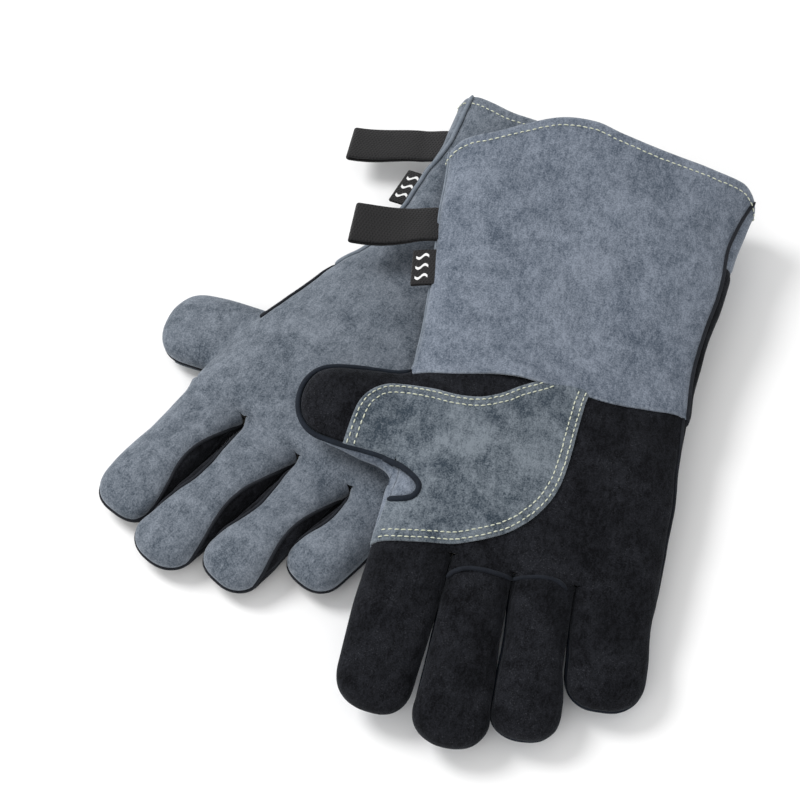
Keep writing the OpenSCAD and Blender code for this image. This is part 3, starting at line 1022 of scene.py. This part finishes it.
def stall_box(glove, name):
    """Two corners of a box round a stall."""
    u, v, angle, half, length, _, flare = glove["stalls"][name]
    a = math.radians(angle)
    spots = np.array([[u - 8 * math.sin(a), v + 8 * math.cos(a)],
                      [u + length * math.sin(a), v - length * math.cos(a)]])
    low, high = spots.min(0), spots.max(0)
    wide = half + flare + 4
    past = wide if name == "thumb" else 4
    return (low[0] - wide, low[1] - past, -3), (high[0] + wide, high[1] + past, STALL_H + 12)


def lining(name, glove, part, skin, node, lift=-2.4, depth=1.4):
    """A padded sleeve inside a skin."""
    sleeve = panel(name, glove, part, skin, COTTON, [node], lift=lift, depth=depth, pull=0)


def build_stall(glove, name):
    """A finger or thumb, and the skin of the side that the palm reinforcement can reach."""
    stem = glove["name"] + "_" + name
    looks = (("back", LEFT_GREY), ("front", BLACK)) if glove is LEFT else (("front", BLACK), ("back", GREY))

    def skin_at(step):
        skin = skin_of(lambda p: stall_skin_field(p, glove, name), *stall_box(glove, name), step)
        base = thumb_line(glove, skin.points) if name == "thumb" else finger_line(skin.points)
        return skin.cut(base, join=True)[0]

    def side_panel(look, skin):
        node = stem + "_" + look[0]
        panel(node + "_panel", glove, name, skin, look[1], [node])

    skin = rumpled(skin_at(STALL_STEP), glove)
    upper, lower, seam = skin.cut(stall_seams(glove, name, skin.points)[0])
    side_panel(looks[0], upper)
    if name != "thumb":
        strip, lower, seam_low = lower.cut(stall_seams(glove, name, lower.points)[1])
        panel(stem + "_fourchette_strips", glove, name, strip, BLACK, [stem + "_fourchettes"], depth=1.1)
        if glove is RIGHT:
            seam = seam + seam_low
    side_panel(looks[1], lower)
    radius, lift = (1.5, 0.8) if name == "thumb" and glove is RIGHT else (0.85, -0.45)
    cords(stem + "_welt", glove, name, seam, radius, NAVY_WELT if glove is RIGHT else BLACK_WELT, lift=lift)
    lining(stem + "_lining_sleeve", glove, name, skin_at(LINING_STEP), stem + "_lining", lift=-2.6, depth=1.3)
    return upper if glove is RIGHT else lower


def patch_reach(glove, points):
    """How far points are inside the outline of the palm reinforcement."""
    inside = -plan_distance(points, PATCH)
    return np.minimum(inside, 7.5 - points[:, 2]) if glove is LEFT else inside


def sewn_patch(glove, part, skin, nodes=()):
    """The part of the palm reinforcement that lies on one panel's skin, and its two rows of stitches."""
    stem = glove["name"] + "_" + (part or "palm")
    patch = skin.cut(patch_reach(glove, skin.points))[0]
    panel(stem + "_patch_panel", glove, part, patch, PATCH_GREY, nodes, lift=1.5, depth=1.4, pull=0.5, spread=1.6)

    def keep(row):
        from_crotch = plan_distance(row[None, :2], CROTCH)[0]
        by_seam = row[1] < -55.5 if part else row[0] < -70
        return from_crotch > 5 and not by_seam and wrist_line(glove, row[None, :3])[0] < 1

    away = patch_reach(glove, patch.points)
    lines = [line for inset in (2.0, 5.6) for line in patch.cut(away - inset)[2]]
    stitches(stem + "_patch_stitches", glove, part, lines, 1.55, 5, keep=keep)


def section_skin(glove, step, inset=0.0):
    """The skin of a hand and cuff without the fingers and thumb, ending an inset short of the mouth."""
    skin = skin_of(lambda p: whole_field(p, glove), (-98, -110, -3), (100, 170, 66), step)
    skin = skin.cut(finger_line(skin.points), join=True)[1]
    skin = skin.cut(thumb_line(glove, skin.points), join=True)[1]
    return skin.cut(mouth_line(glove, skin.points) - inset)[0]


def build_hand(glove, hand):
    """The hand's panels and welts, and the skin that the palm reinforcement is sewn to."""
    side = glove["name"]
    upper, rest, seam = hand.cut(section_seams(glove, hand.points)[0])
    strip, lower, _ = rest.cut(section_seams(glove, rest.points)[1])
    looks = (("back", LEFT_GREY), ("palm", BLACK)) if glove is LEFT else (("palm", BLACK), ("back", GREY))
    if glove is RIGHT:
        notch, upper, _ = upper.cut(-plan_distance(upper.points, CROTCH))
        panel("right_crotch_panel", glove, None, notch, GREY, pull=1.2)
        crotch = [on_top(glove, CROTCH_WELT)]
        cords("right_crotch_welt", glove, None, crotch, 1.6, NAVY_WELT, lift=1.0, step=1.4)
        seam = [run for line in seam for run in runs(line, plan_distance(line, CROTCH) > 0)]
    for (where, look), skin in zip(looks, (upper, lower)):
        node = side + "_hand_" + where
        panel(node + "_panel", glove, None, skin, look, [node])
    panel(side + "_hand_side_strips", glove, None, strip, BLACK, [side + "_hand_sides"])
    cords(side + "_hand_welt", glove, None, seam, 0.9, BLACK_WELT, lift=-0.2)
    return upper if glove is RIGHT else lower


def build_cuff(glove, cuff):
    side = glove["name"]
    away = wrist_line(glove, cuff.points)
    flare = np.zeros(len(away))
    if glove is RIGHT:
        # The cuff stands off the hand all round the wrist, and most in the middle of the palm's side
        middle = np.exp(-((cuff.points[:, 0] + 20) / 15) ** 2) * (cuff.points[:, 2] > 15)
        flare += 1.7 * (1 - smoothstep(away, 5, 30)) + 2.4 * middle * (1 - smoothstep(away, 0, 16))
    # Along the hem, which is folded over on the real cuff, the skin stands half a millimetre further out
    flare += 0.5 * (1 - smoothstep(mouth_line(glove, cuff.points), 5.2, 6.4))
    cuff.rows[:, :3] += cuff.normals * flare[:, None]
    top, rest, seam = cuff.cut(section_seams(glove, cuff.points)[0])
    strip, bottom, _ = rest.cut(section_seams(glove, rest.points)[1])
    sides, grey = (("back", "front"), LEFT_GREY) if glove is LEFT else (("front", "back"), GREY)
    for where, skin in zip(sides, (top, bottom)):
        node = side + "_cuff_" + where
        panel(node + "_panel", glove, "cuff", skin, grey, [node], depth=1.5)
    mouth_strip, wrist_strip, _ = strip.cut(strip.points[:, 1] - (40 if glove is LEFT else 100))
    panel(side + "_cuff_gusset_panels", glove, "cuff", wrist_strip, BLACK, [side + "_cuff_gussets"])
    panel(side + "_cuff_gusset_tops", glove, "cuff", mouth_strip, grey)
    thumb_side = [line for line in seam if line[:, 0].mean() < 0]
    little_side = [line for line in seam if line[:, 0].mean() > 0]
    ridge, lift = (1.3, 0.4) if glove is LEFT else (0.8, -0.5)
    cords(side + "_cuff_thumb_welt", glove, "cuff", thumb_side, ridge, GREY_WELT, lift=lift)
    cords(side + "_cuff_little_welt", glove, "cuff", little_side, 1.0, BLACK_WELT, lift=-0.4)
    hem = cuff.cut(mouth_line(glove, cuff.points) - 5.0)[2]
    stitches(side + "_hem_stitches", glove, "cuff", hem, 0.0, 9, pitch=3.4)


def build_sections(glove):
    """The hand and cuff with their linings, and the skin that the palm reinforcement is sewn to."""
    skin = rumpled(section_skin(glove, HAND_STEP), glove)
    past_wrist = wrist_line(glove, skin.points)
    if glove is LEFT:
        cuff, hand, _ = skin.cut(past_wrist, join=True)
    else:
        # The right hand's leather reaches on inside its cuff
        hand = skin.cut(past_wrist - 9)[1]
        cuff = skin.cut(past_wrist)[0]
    palm = build_hand(glove, hand)
    build_cuff(glove, cuff)
    inner = section_skin(glove, LINING_STEP + 0.4, inset=2.5)
    if glove is LEFT:
        lining("left_lining_sleeve", glove, None, inner, "left_lining")
    else:
        cuff, hand, _ = inner.cut(wrist_line(glove, inner.points) - 4, join=True)
        lining("right_hand_lining_sleeve", glove, None, hand, "right_hand_lining")
        lining("right_cuff_lining_sleeve", glove, "cuff", cuff, "right_cuff_lining")
    return palm


# Seam across the roots of the middle and ring fingers' fronts, on the right glove's upper side
GUNN_SEAM = [(-32, -113), (-29, -109.5), (-23, -107), (-15, -106), (-4.5, -105.3), (8, -103), (16, -101.6),
             (23, -101.8), (28, -104)]


def gunn_welts():
    rows = on_top(RIGHT, rounded_line(GUNN_SEAM, steps=8))
    middle = rows[rows[:, 0] < 1]
    for name, line in (("middle", middle), ("ring", rows[len(middle) - 1:])):
        cords("right_" + name + "_root_welt", RIGHT, name, [line], 1.25, ROOT_WELT, lift=0.2,
              step=1.4)


def ribbon(path, across, width, thick):
    """A flat woven band along a path, with soft edges."""
    tangent, side = unit(np.gradient(path, axis=0)), unit(across)
    n = unit(np.cross(tangent, side))
    reach = width / 2
    out = np.array([-1, -0.985, -0.93, -0.5, 0, 0.5, 0.93, 0.985, 1]) * reach
    rise = np.array([0.25, 0.75, 1, 1, 1, 1, 1, 0.75, 0.25]) * thick / 2
    ring = np.concatenate([np.column_stack([out, rise]), np.column_stack([out[::-1], -rise[::-1]])])
    m = len(ring)
    points = (path[:, None] + ring[None, :, :1] * side[:, None] + ring[None, :, 1:] * n[:, None]).reshape(-1, 3)
    quads = np.stack(swept(len(path), m), -1).reshape(-1, 4)
    faces = [quads[:, [0, 2, 1]], quads[:, [0, 3, 2]]]
    half = m // 2
    for first, flip in ((0, False), ((len(path) - 1) * m, True)):
        for a in range(half - 1):
            square = np.array([a, a + 1, m - 2 - a, m - 1 - a]) + first
            pair = np.array([square[[0, 1, 2]], square[[0, 2, 3]]])
            faces.append(pair[:, ::-1] if flip else pair)
    return points, np.concatenate(faces)


def folded_path(length, gap, root_gap, rise):
    """Side view of a band folded back on itself: out along the top, round the fold, and back underneath."""
    run = np.linspace(0, 1, 22)
    r = gap / 2
    x = run * (length - r)
    spread = root_gap / 2 + (r - root_gap / 2) * smoothstep(run, 0, 0.9)
    top = np.column_stack([x, rise(x) + spread])
    bottom = np.column_stack([x, rise(x) - spread])[::-1]
    angle = np.linspace(math.pi / 2, -math.pi / 2, 9)[1:-1]
    fold = np.column_stack([length - r + r * np.cos(angle), rise(length - r) + r * np.sin(angle)])
    return np.concatenate([top, fold, bottom])


def woven(name, points, faces, root, outward, along, material):
    """A woven piece from points in world millimetres, with its weave along its own directions."""
    local = points - root
    flat = np.column_stack([local @ outward, local @ along, local[:, 2]])
    shape = mesh_object(name, points * MM, faces, {"rest": flat * MM, "edge": np.full(len(points), FAR_FROM_EDGE)})
    shape.data.materials.append(material)
    return shape


def banded(name, root, outward, along, width, thick, path, sway, twist, node):
    """A folded band that starts at root, in world millimetres, and runs outward."""
    up = np.array([0, 0, 1.0])
    x, z = path.T
    centre = root + np.outer(x, outward) + np.outer(z, up) + np.outer(sway(x), along)
    tilt = twist(x)[:, None]
    across = np.cos(tilt) * along + np.sin(tilt) * up
    shape = woven(name, *ribbon(centre, across, width, thick), root, outward, along, WEBBING)
    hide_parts(node)
    return shape


def world_of(glove, *spot):
    return to_world(glove, np.array([spot], float))[0] / MM


def heading(degrees):
    """Level direction, in degrees anticlockwise from +X."""
    a = math.radians(degrees)
    return np.array([math.cos(a), math.sin(a), 0.0])


# Each loop is [root u, v, w, length, direction outward, direction across, lean at its root, lean at its end,
# drop from its root, wave phase]
LOOPS = {"left": [-57.0, 101.5, 21.5, 55.0, 172.5, 78, -0.16, -0.12, 4.0, 0.4],
         "right": [-72.5, 84.8, 19.0, 51.5, 178.0, 78, -0.12, 0.16, -1.5, 1.9]}


def hanging_loops():
    for glove in (LEFT, RIGHT):
        u, v, w, length, outward, across, lean, far_lean, drop, phase = LOOPS[glove["name"]]
        out, name = heading(outward), glove["name"] + "_loop"

        def rise(x):
            return (1.3 * (np.sin(x / 50 * math.pi * 1.5 + phase) - math.sin(phase)) * np.minimum(x / 20, 1)
                    - drop * smoothstep(x, 0, 16))

        path = folded_path(length, 3.0, 1.7, rise)
        root = world_of(glove, u, v, w)
        shape = banded(name + "_webbing", root, out, heading(across), 22.0, 1.35, path,
                       lambda x: 0.9 * np.sin(x / 12 + phase),
                       lambda x: lean + (far_lean - lean) * smoothstep(x, 12, 46), name)
        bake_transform(shape)


# Each label is [root u, v, w, direction outward, direction up it, length up it]
LABELS = {"left": [-49.2, 68.0, 21.5, 150.5, 60.5, 22.5], "right": [-74.0, 57.4, 20.5, 176, 85.5, 21.5]}


def woven_labels():
    for glove in (LEFT, RIGHT):
        u, v, w, outward, up_it, tall = LABELS[glove["name"]]
        outward, along = heading(outward), heading(up_it)
        root = world_of(glove, u, v, w)
        length = 15.5 if glove is LEFT else 13.0
        droop = lambda x: -0.05 * x ** 1.5
        name = glove["name"] + "_label"
        tab = banded(name + "_tab", root, outward, along, tall, 0.7, folded_path(length, 1.5, 1.5, droop),
                     lambda x: 0 * x, lambda x: 0 * x, name)
        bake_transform(tab)
        parts = []
        for k in (-1, 0, 1):
            t = np.linspace(length - 8.5, length - 1.7, 18)
            s = 6.3 * k + 1.2 * np.sin((t - t[0]) / 7 * 2 * math.pi)
            stroke = root + np.outer(t, outward) + np.outer(s, along) + np.outer(1.13 + droop(t), [0, 0, 1.0])
            parts.append(ribbon(stroke, np.tile(along, (len(t), 1)), 1.6, 0.22))
        shape = woven(name + "_motif", *joined(parts), root, outward, along, PRINT)
        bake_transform(shape)


gunn_welts()
hanging_loops()
woven_labels()

for glove in (LEFT, RIGHT):
    sewn_patch(glove, None, build_sections(glove), [glove["name"] + "_palm_patch"])
    for name in FINGERS:
        build_stall(glove, name)
    sewn_patch(glove, "thumb", build_stall(glove, "thumb"))


# ------------------------------------------------------------------ floor, light and finish
floor_mesh = mesh_object("floor", np.array([[-3, -3, -0.0004], [3, -3, -0.0004], [3, 3, -0.0004],
                                            [-3, 3, -0.0004]]), np.array([[0, 1, 2, 3]]))
floor_look = Nodes("floor", roughness=0.9, specular=0.1)
floor_mesh.data.materials.append(floor_look.finish(
    floor_look.mix(floor_look.noise(400, 2), (0.88, 0.88, 0.88), (0.90, 0.90, 0.90)), floor_look.noise(3), 0.01))

scene = bpy.context.scene
scene.view_settings.view_transform = "Standard"
world = bpy.data.worlds.new("studio")
scene.world = world
world.use_nodes = True
world.node_tree.nodes["Background"].inputs["Color"].default_value = (1, 1, 1, 1)
world.node_tree.nodes["Background"].inputs["Strength"].default_value = 0.78


def soft_light(name, place, size, power):
    data = bpy.data.lights.new(name, "AREA")
    data.shape = "DISK"
    data.size = size
    data.energy = power
    light = bpy.data.objects.new(name, data)
    scene.collection.objects.link(light)
    light.location = place
    light.rotation_euler = (Vector((0, 0, 0)) - Vector(place)).to_track_quat("-Z", "Y").to_euler()


soft_light("key", (-1.0, 0.5, 1.3), 0.7, 19)
soft_light("fill", (-0.6, -1.2, 1.2), 1.2, 6)
